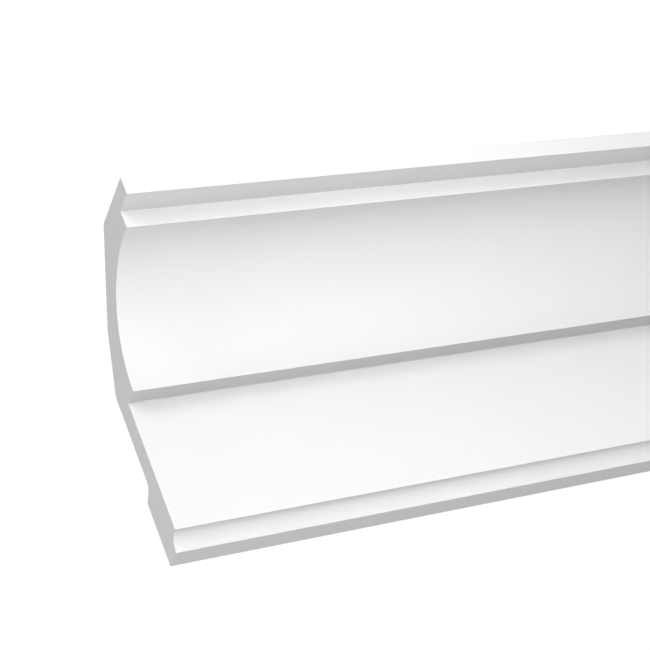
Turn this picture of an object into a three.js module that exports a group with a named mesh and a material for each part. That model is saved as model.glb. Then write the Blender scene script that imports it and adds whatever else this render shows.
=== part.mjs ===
import * as THREE from 'three';

// A length of crown moulding as it is fixed between wall and ceiling. +X runs along the wall, +Y points
// into the wall and +Z up to the ceiling. The origin is the middle of the strip that lies on the wall.
// The section is drawn by how far a point stands out from the wall and how far it lies below the ceiling.
// All sizes are in millimetres.

const length = 1000;

// Front of the section, from the ceiling down to the wall.
// Upright edge at the ceiling, and the step back under it
const lipFace = 13;
const lipSoffit = 17;
// Second upright edge, and the step back from it to the cove
const filletFace = 12.5;
const filletSoffit = 3.8;
// Quarter-round hollow, and the step back under it
const coveRadius = 71;
const coveSoffit = 13.4;
// Flat upright band below the cove
const bandFace = 92;
// Small quarter-round hollow at the foot, and how far the underside falls from it to the wall
const toeCoveRadius = 10.4;
const toeFall = 1.1;

// Back of the section, from the wall up to the ceiling.
// Strip that lies on the wall, and the slope from it into the relief
const wallStrip = 45;
const reliefSlope = 5.8;
// Clearance between the relieved back and the wall, and the thickness of the band in front of it
const backRelief = 10.6;
const bandThickness = 14.9;
// The straight back ends this far above the cove's lower edge
const backRise = 14.4;
// Knee of the slanting back: its thickness behind the cove, and its direction from the cove's centre
const kneeThickness = 19.3;
const kneeTilt = THREE.MathUtils.degToRad(33.5);
// Strip that lies on the ceiling, measured to the corner that its bend rounds
const ceilingStrip = 45.6;
// Radii that round the four bends of the back
const reliefBend = 6.5;
const bandBend = 15;
const kneeBend = 20;
const ceilingBend = 8;

// Each quarter turn of the outline is drawn with twice this many straight sides.
const sidesPerArc = 16;

// Places that the sizes above lead to
const bandOut = backRelief + bandThickness;
const coveOut = bandOut + coveSoffit + coveRadius;
const projection = coveOut + filletSoffit + lipSoffit;
const coveDown = lipFace + filletFace + coveRadius;
const toeDown = coveDown + bandFace;
const drop = toeDown + toeCoveRadius + toeFall;
const ceilingHeight = drop - wallStrip / 2;

// A point of the section: out from the wall, down from the ceiling.
function place(out, down) {
  return new THREE.Vector2(-out, ceilingHeight - down);
}

// Draws straight lines to each point in turn.
function addEdges(outline, points) {
  for (const point of points) {
    outline.lineTo(point.x, point.y);
  }
}

// Draws a quarter-round hollow, from straight above its centre to straight behind it.
function addHollow(outline, centre, radius) {
  outline.absarc(centre.x, centre.y, radius, Math.PI / 2, 0, true);
}

// Draws a round bend at a corner, touching the straight lines from the point before and to the point after.
function addBend(outline, before, corner, after, radius) {
  const back = before.clone().sub(corner).normalize();
  const ahead = after.clone().sub(corner).normalize();
  const halfAngle = Math.acos(back.dot(ahead)) / 2;
  const middle = back.clone().add(ahead).normalize();
  const centre = middle.multiplyScalar(radius / Math.sin(halfAngle)).add(corner);
  const reach = radius / Math.tan(halfAngle);
  const start = back.clone().multiplyScalar(reach).add(corner).sub(centre);
  const end = ahead.clone().multiplyScalar(reach).add(corner).sub(centre);
  const turnsRight = back.cross(ahead) > 0;
  outline.absarc(centre.x, centre.y, radius, start.angle(), end.angle(), turnsRight);
}

// The front runs down from the ceiling: lip, fillet, cove, band and toe.
function addFront(outline) {
  const lipFront = place(projection, 0);
  outline.moveTo(lipFront.x, lipFront.y);
  addEdges(outline, [
    place(projection, lipFace),
    place(projection - lipSoffit, lipFace),
    place(projection - lipSoffit, lipFace + filletFace),
    place(coveOut, lipFace + filletFace),
  ]);
  addHollow(outline, place(coveOut, coveDown), coveRadius);
  addEdges(outline, [place(bandOut, coveDown), place(bandOut, toeDown)]);
  addHollow(outline, place(bandOut, toeDown + toeCoveRadius), toeCoveRadius);
  addEdges(outline, [place(0, drop)]);
}

// The back runs up from the wall strip: relief, straight back, knee and ceiling strip.
function addBack(outline) {
  const kneeReach = coveRadius + kneeThickness;
  const stripTop = place(0, drop - wallStrip);
  const reliefCorner = place(backRelief, drop - wallStrip - reliefSlope);
  const bandCorner = place(backRelief, coveDown - backRise);
  const knee = place(coveOut - kneeReach * Math.cos(kneeTilt), coveDown - kneeReach * Math.sin(kneeTilt));
  const ceilingCorner = place(projection - ceilingStrip, 0);
  const ceilingEnd = place(projection, 0);
  addEdges(outline, [stripTop]);
  addBend(outline, stripTop, reliefCorner, bandCorner, reliefBend);
  addBend(outline, reliefCorner, bandCorner, knee, bandBend);
  addBend(outline, bandCorner, knee, ceilingCorner, kneeBend);
  addBend(outline, knee, ceilingCorner, ceilingEnd, ceilingBend);
}

// The section is swept straight along the wall and cut square at both ends.
function makeMoulding() {
  const outline = new THREE.Shape();
  addFront(outline);
  addBack(outline);
  outline.closePath();
  const body = new THREE.ExtrudeGeometry(outline, {
    depth: length,
    bevelEnabled: false,
    curveSegments: sidesPerArc,
  });
  const primedWhite = new THREE.MeshStandardMaterial({
    color: 0xf3f3f1,
    roughness: 0.6,
    metalness: 0,
  });
  const moulding = new THREE.Mesh(body, primedWhite);
  moulding.name = 'crown_moulding';
  // Turns the drawing's right to +Y, its top to +Z and its depth to +X.
  moulding.rotation.set(Math.PI / 2, Math.PI / 2, 0);
  moulding.position.x = -length / 2;
  return moulding;
}

const crownMoulding = new THREE.Group();
crownMoulding.add(makeMoulding());

export default crownMoulding;
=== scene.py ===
import math
import bmesh
import bpy
from mathutils import Matrix, Vector


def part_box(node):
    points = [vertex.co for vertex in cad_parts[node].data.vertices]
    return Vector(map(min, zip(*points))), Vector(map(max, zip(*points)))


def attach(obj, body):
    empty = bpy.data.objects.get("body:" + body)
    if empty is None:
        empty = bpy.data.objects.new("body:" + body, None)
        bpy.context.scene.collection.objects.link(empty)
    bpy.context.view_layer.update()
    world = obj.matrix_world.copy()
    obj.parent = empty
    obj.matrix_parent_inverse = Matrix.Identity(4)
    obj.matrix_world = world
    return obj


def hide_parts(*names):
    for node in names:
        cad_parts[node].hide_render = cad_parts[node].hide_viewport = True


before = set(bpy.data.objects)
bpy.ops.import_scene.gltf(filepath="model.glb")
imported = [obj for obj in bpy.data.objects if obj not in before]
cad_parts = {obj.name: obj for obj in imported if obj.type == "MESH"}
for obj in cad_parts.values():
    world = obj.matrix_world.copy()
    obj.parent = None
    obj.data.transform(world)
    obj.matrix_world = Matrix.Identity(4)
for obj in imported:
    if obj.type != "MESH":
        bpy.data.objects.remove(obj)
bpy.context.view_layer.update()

# Camera. The moulding is seen from below, past its left end, with the camera rolled over until the slant
# of the section stands upright. The place is taken from the corner of wall, ceiling and left end.
low_corner, high_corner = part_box("crown_moulding")
room_corner = Vector((low_corner.x, high_corner.y, high_corner.z))
camera_from_corner = Vector((-0.4050, -0.9299, -0.6254))
raised_to_level = math.radians(90.0)
turned_right = math.radians(31.807)
tipped_up = math.radians(28.032)
rolled_over = math.radians(23.989)

camera_data = bpy.data.cameras.new("camera")
camera_data.sensor_width = 36.0
camera_data.lens = 98.65
camera = bpy.data.objects.new("camera", camera_data)
camera.matrix_world = (
    Matrix.Translation(room_corner + camera_from_corner)
    @ Matrix.Rotation(-turned_right, 4, "Z")
    @ Matrix.Rotation(raised_to_level + tipped_up, 4, "X")
    @ Matrix.Rotation(-rolled_over, 4, "Z")
)
bpy.context.scene.collection.objects.link(camera)
bpy.context.scene.camera = camera

# Crown moulding. A straight length of rigid foam, cast in a mould, primed white and sawn square at both
# ends. Its arrises are as sharp as the mould and the primer leave them. It is glued to the wall and to
# the ceiling by the two strips on its back.
moulded_arris = 0.00018
sawn_arris = 0.00008
sharp_turn = math.radians(30.0)
flat_turn = math.radians(0.2)
weld_distance = 0.00001
# The share of a length, or of a face's direction, that counts as along the moulding
along_share = 0.9
# The share of a face's direction, to the wall or to the ceiling, that makes it part of the back
back_share = 0.3

moulding_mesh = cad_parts["crown_moulding"].data.copy()
moulding_mesh.name = "crown_moulding_primed"
moulding_mesh.materials.clear()
body = bmesh.new()
body.from_mesh(moulding_mesh)
bmesh.ops.remove_doubles(body, verts=body.verts, dist=weld_distance)
bmesh.ops.dissolve_limit(body, angle_limit=flat_turn, verts=body.verts, edges=body.edges)


def is_sharp(edge):
    return edge.calc_face_angle(0.0) > sharp_turn


def runs_along(edge):
    span = edge.verts[1].co - edge.verts[0].co
    return abs(span.x) > along_share * span.length


def round_arrises(edges, width, segments):
    """Takes the sharpness off these edges of the moulding."""
    bmesh.ops.bevel(
        body, geom=edges, offset=width, affect="EDGES", segments=segments, profile=0.5, material=-1
    )


moulded_edges = [edge for edge in body.edges if is_sharp(edge) and runs_along(edge)]
round_arrises(moulded_edges, moulded_arris, segments=3)
sawn_edges = [edge for edge in body.edges if is_sharp(edge) and not runs_along(edge)]
round_arrises(sawn_edges, sawn_arris, segments=2)

front_slot, sawn_slot, back_slot = range(3)
for face in body.faces:
    face.smooth = True
    if abs(face.normal.x) > along_share:
        face.material_index = sawn_slot
    elif face.normal.y > back_share or face.normal.z > back_share:
        face.material_index = back_slot
    else:
        face.material_index = front_slot
body.to_mesh(moulding_mesh)
body.free()

moulding = bpy.data.objects.new("crown_moulding_primed", moulding_mesh)
bpy.context.scene.collection.objects.link(moulding)
flat_faces = moulding.modifiers.new("flat faces", "WEIGHTED_NORMAL")
flat_faces.mode = "FACE_AREA"
flat_faces.weight = 50

# Every surface has a fine grain, faint streaks that run one way, and patches where its white and its gloss
# change a little. The group gives the first two as one height, and the third as a mask.
coat_texture = bpy.data.node_groups.new("coat texture", "ShaderNodeTree")
for name in ("Grain Size", "Patch Size", "Streak Width", "Streak Share"):
    coat_texture.interface.new_socket(name, in_out="INPUT", socket_type="NodeSocketFloat")
coat_texture.interface.new_socket("Streak Run", in_out="INPUT", socket_type="NodeSocketVector")
for name in ("Height", "Patches"):
    coat_texture.interface.new_socket(name, in_out="OUTPUT", socket_type="NodeSocketFloat")
coat_in = coat_texture.nodes.new("NodeGroupInput")
coat_out = coat_texture.nodes.new("NodeGroupOutput")
coat_place = coat_texture.nodes.new("ShaderNodeTexCoord")


def add_noise(place_socket, size_socket, detail):
    """A noise whose lumps are as large as the size that the socket gives, in metres."""
    per_metre = coat_texture.nodes.new("ShaderNodeMath")
    per_metre.operation = "DIVIDE"
    per_metre.inputs[0].default_value = 1.0
    noise = coat_texture.nodes.new("ShaderNodeTexNoise")
    noise.inputs["Detail"].default_value = detail
    coat_texture.links.new(size_socket, per_metre.inputs[1])
    coat_texture.links.new(per_metre.outputs["Value"], noise.inputs["Scale"])
    coat_texture.links.new(place_socket, noise.inputs["Vector"])
    return noise.outputs["Fac"]


stretch = coat_texture.nodes.new("ShaderNodeVectorMath")
stretch.operation = "MULTIPLY"
coat_texture.links.new(coat_place.outputs["Object"], stretch.inputs[0])
coat_texture.links.new(coat_in.outputs["Streak Run"], stretch.inputs[1])
grain = add_noise(coat_place.outputs["Object"], coat_in.outputs["Grain Size"], detail=2.0)
patches = add_noise(coat_place.outputs["Object"], coat_in.outputs["Patch Size"], detail=3.0)
streaks = add_noise(stretch.outputs["Vector"], coat_in.outputs["Streak Width"], detail=2.0)
relief = coat_texture.nodes.new("ShaderNodeMix")
coat_texture.links.new(coat_in.outputs["Streak Share"], relief.inputs["Factor"])
coat_texture.links.new(grain, relief.inputs["A"])
coat_texture.links.new(streaks, relief.inputs["B"])
coat_texture.links.new(relief.outputs["Result"], coat_out.inputs["Height"])
coat_texture.links.new(patches, coat_out.inputs["Patches"])

# A patch fades in between these two values of its noise, and changes the roughness by this much.
patch_starts = 0.35
patch_is_full = 0.65
gloss_change = 0.05


def coated_material(name, white, patch_white, roughness, texture, depth):
    """A white coat with patches of another white, over the texture's relief of that depth."""
    material = bpy.data.materials.new(name)
    material.use_nodes = True
    tree = material.node_tree
    shader = tree.nodes["Principled BSDF"]
    coat = tree.nodes.new("ShaderNodeGroup")
    coat.node_tree = coat_texture
    for socket, value in texture.items():
        coat.inputs[socket].default_value = value
    patch_edge = tree.nodes.new("ShaderNodeMapRange")
    patch_edge.inputs["From Min"].default_value = patch_starts
    patch_edge.inputs["From Max"].default_value = patch_is_full
    tree.links.new(coat.outputs["Patches"], patch_edge.inputs["Value"])
    tint = tree.nodes.new("ShaderNodeMix")
    tint.data_type = "RGBA"
    tint.inputs["A"].default_value = white
    tint.inputs["B"].default_value = patch_white
    tree.links.new(patch_edge.outputs["Result"], tint.inputs["Factor"])
    tree.links.new(tint.outputs["Result"], shader.inputs["Base Color"])
    gloss = tree.nodes.new("ShaderNodeMapRange")
    gloss.inputs["To Min"].default_value = roughness - gloss_change
    gloss.inputs["To Max"].default_value = roughness + gloss_change
    tree.links.new(patch_edge.outputs["Result"], gloss.inputs["Value"])
    tree.links.new(gloss.outputs["Result"], shader.inputs["Roughness"])
    bump = tree.nodes.new("ShaderNodeBump")
    bump.inputs["Strength"].default_value = 1.0
    bump.inputs["Distance"].default_value = depth
    tree.links.new(coat.outputs["Height"], bump.inputs["Height"])
    tree.links.new(bump.outputs["Normal"], shader.inputs["Normal"])
    return material


# The front is sprayed smooth, and its faint streaks run lengthwise as the mould's did.
primed_face = coated_material(
    "primed face",
    white=(0.868, 0.868, 0.866, 1.0),
    patch_white=(0.852, 0.852, 0.850, 1.0),
    roughness=0.6,
    texture={
        "Grain Size": 0.0016,
        "Patch Size": 0.09,
        "Streak Width": 0.004,
        "Streak Run": (0.02, 1.0, 1.0),
        "Streak Share": 0.25,
    },
    depth=0.00006,
)
# The saw leaves fine upright marks on the cut ends.
sawn_end = coated_material(
    "sawn end",
    white=(0.860, 0.860, 0.858, 1.0),
    patch_white=(0.836, 0.836, 0.833, 1.0),
    roughness=0.75,
    texture={
        "Grain Size": 0.0007,
        "Patch Size": 0.012,
        "Streak Width": 0.0011,
        "Streak Run": (1.0, 1.0, 0.03),
        "Streak Share": 0.5,
    },
    depth=0.00018,
)
# The back keeps the rougher skin of the open side of the mould, with lengthwise rub marks.
cast_back = coated_material(
    "cast back",
    white=(0.862, 0.861, 0.856, 1.0),
    patch_white=(0.825, 0.823, 0.817, 1.0),
    roughness=0.78,
    texture={
        "Grain Size": 0.0030,
        "Patch Size": 0.016,
        "Streak Width": 0.0022,
        "Streak Run": (0.03, 1.0, 1.0),
        "Streak Share": 0.45,
    },
    depth=0.00024,
)

# The saw also opens the foam's small pores. A pore's floor and rim are given by how far they lie from its
# middle, as shares of the space that each pore has.
pores_per_metre = 900.0
pore_depth = 0.00010
pore_floor = 0.12
pore_rim = 0.30
sawn_tree = sawn_end.node_tree
pore_place = sawn_tree.nodes.new("ShaderNodeTexCoord")
pores = sawn_tree.nodes.new("ShaderNodeTexVoronoi")
pores.inputs["Scale"].default_value = pores_per_metre
pore_wall = sawn_tree.nodes.new("ShaderNodeMapRange")
pore_wall.inputs["From Min"].default_value = pore_floor
pore_wall.inputs["From Max"].default_value = pore_rim
pore_dents = sawn_tree.nodes.new("ShaderNodeBump")
pore_dents.inputs["Strength"].default_value = 1.0
pore_dents.inputs["Distance"].default_value = pore_depth
sawn_tree.links.new(pore_place.outputs["Object"], pores.inputs["Vector"])
sawn_tree.links.new(pores.outputs["Distance"], pore_wall.inputs["Value"])
sawn_tree.links.new(pore_wall.outputs["Result"], pore_dents.inputs["Height"])
sawn_tree.links.new(pore_dents.outputs["Normal"], sawn_tree.nodes["Bump"].inputs["Normal"])

# The slots are filled in the order of front_slot, sawn_slot and back_slot.
for material in (primed_face, sawn_end, cast_back):
    moulding_mesh.materials.append(material)

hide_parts("crown_moulding")
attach(moulding, "root")

# Studio. A pale floor far below the moulding and a pale backdrop all round, with soft lights and no bounced
# light, so that hollows and steps stay dark enough to read.
floor_height = -1.6
floor_half_width = 14.0
floor_shade = 0.58
horizon_shade = 0.76
fade_starts = 2.0
fade_ends = 9.0
floor_shape = bmesh.new()
bmesh.ops.create_grid(floor_shape, x_segments=1, y_segments=1, size=floor_half_width)
bmesh.ops.translate(floor_shape, verts=floor_shape.verts, vec=(0.0, 0.0, floor_height))
floor_mesh = bpy.data.meshes.new("floor")
floor_shape.to_mesh(floor_mesh)
floor_shape.free()
floor = bpy.data.objects.new("floor", floor_mesh)
floor.visible_shadow = False
floor.visible_diffuse = False
floor.visible_glossy = False
bpy.context.scene.collection.objects.link(floor)

# The floor is a pale grey that glows evenly and gets lighter towards the horizon.
floor_paint = bpy.data.materials.new("floor paint")
floor_paint.use_nodes = True
floor_tree = floor_paint.node_tree
floor_tree.nodes.remove(floor_tree.nodes["Principled BSDF"])
floor_place = floor_tree.nodes.new("ShaderNodeTexCoord")
floor_reach = floor_tree.nodes.new("ShaderNodeVectorMath")
floor_reach.operation = "LENGTH"
floor_fade = floor_tree.nodes.new("ShaderNodeMapRange")
floor_fade.interpolation_type = "SMOOTHSTEP"
floor_fade.inputs["From Min"].default_value = fade_starts
floor_fade.inputs["From Max"].default_value = fade_ends
floor_fade.inputs["To Min"].default_value = floor_shade
floor_fade.inputs["To Max"].default_value = horizon_shade
floor_glow = floor_tree.nodes.new("ShaderNodeEmission")
floor_tree.links.new(floor_place.outputs["Object"], floor_reach.inputs[0])
floor_tree.links.new(floor_reach.outputs["Value"], floor_fade.inputs["Value"])
floor_tree.links.new(floor_fade.outputs["Result"], floor_glow.inputs["Strength"])
floor_tree.links.new(floor_glow.outputs["Emission"], floor_tree.nodes["Material Output"].inputs["Surface"])
floor_mesh.materials.append(floor_paint)

# All round, the camera sees a backdrop that turns from the horizon's grey to plain white well above it,
# while the moulding is lit by a dimmer even light. The steepness is how much of a sight line goes upwards.
even_strength = 0.20
plain_white = 1.03
white_steepness = 0.22
world = bpy.data.worlds.new("studio")
world.use_nodes = True
world_tree = world.node_tree
even_light = world_tree.nodes["Background"]
even_light.inputs["Color"].default_value = (1.0, 1.0, 1.0, 1.0)
even_light.inputs["Strength"].default_value = even_strength
backdrop = world_tree.nodes.new("ShaderNodeBackground")
backdrop.inputs["Color"].default_value = (1.0, 1.0, 1.0, 1.0)
sight = world_tree.nodes.new("ShaderNodeTexCoord")
steepness = world_tree.nodes.new("ShaderNodeSeparateXYZ")
backdrop_fade = world_tree.nodes.new("ShaderNodeMapRange")
backdrop_fade.interpolation_type = "SMOOTHSTEP"
backdrop_fade.inputs["From Max"].default_value = white_steepness
backdrop_fade.inputs["To Min"].default_value = horizon_shade
backdrop_fade.inputs["To Max"].default_value = plain_white
ray = world_tree.nodes.new("ShaderNodeLightPath")
choose = world_tree.nodes.new("ShaderNodeMixShader")
world_tree.links.new(sight.outputs["Generated"], steepness.inputs["Vector"])
world_tree.links.new(steepness.outputs["Z"], backdrop_fade.inputs["Value"])
world_tree.links.new(backdrop_fade.outputs["Result"], backdrop.inputs["Strength"])
world_tree.links.new(ray.outputs["Is Camera Ray"], choose.inputs["Fac"])
world_tree.links.new(even_light.outputs["Background"], choose.inputs[1])
world_tree.links.new(backdrop.outputs["Background"], choose.inputs[2])
world_tree.links.new(choose.outputs["Shader"], world_tree.nodes["World Output"].inputs["Surface"])
bpy.context.scene.world = world

left_half = Vector((-0.30, -0.03, 0.08))
right_half = Vector((0.40, -0.03, 0.08))


def place_light(data, place, target, power):
    """Stands the light at that place, aimed at the target and itself out of the picture."""
    data.energy = power
    light = bpy.data.objects.new(data.name, data)
    aim = (target - Vector(place)).to_track_quat("-Z", "Y").to_matrix().to_4x4()
    light.matrix_world = Matrix.Translation(place) @ aim
    light.visible_camera = False
    bpy.context.scene.collection.objects.link(light)


def soft_light(name, place, size, power):
    """A round soft light, aimed at the moulding's left half."""
    data = bpy.data.lights.new(name, "AREA")
    data.shape = "DISK"
    data.size = size
    place_light(data, place, left_half, power)


# Five lights from the front, the left and below model the profile. The next two stand behind the wall's
# plane and above the moulding, where they reach only the back, the top and the right end.
soft_light("high left light", (-1.52, -1.49, 1.18), size=1.2, power=14.8)
soft_light("low light", (-0.40, -0.59, -1.47), size=0.9, power=6.7)
soft_light("left light", (-1.30, -0.20, -0.30), size=0.6, power=2.9)
soft_light("front light", (-0.20, -0.80, -0.15), size=0.4, power=1.9)
soft_light("near front light", (-0.40, -0.60, 0.05), size=0.3, power=1.25)
soft_light("back light", (0.30, 1.30, 1.80), size=0.9, power=33.0)
soft_light("right end light", (2.20, 0.60, 0.70), size=1.2, power=11.0)
# A spot light fills the right half of the front, which the lights on the left hardly reach.
right_fill = bpy.data.lights.new("right fill light", "SPOT")
right_fill.spot_size = math.radians(24.0)
right_fill.spot_blend = 1.0
right_fill.shadow_soft_size = 0.25
place_light(right_fill, (1.00, -1.30, 1.00), right_half, power=48.0)
bpy.context.scene.cycles.diffuse_bounces = 0
bpy.context.scene.view_settings.view_transform = "Standard"
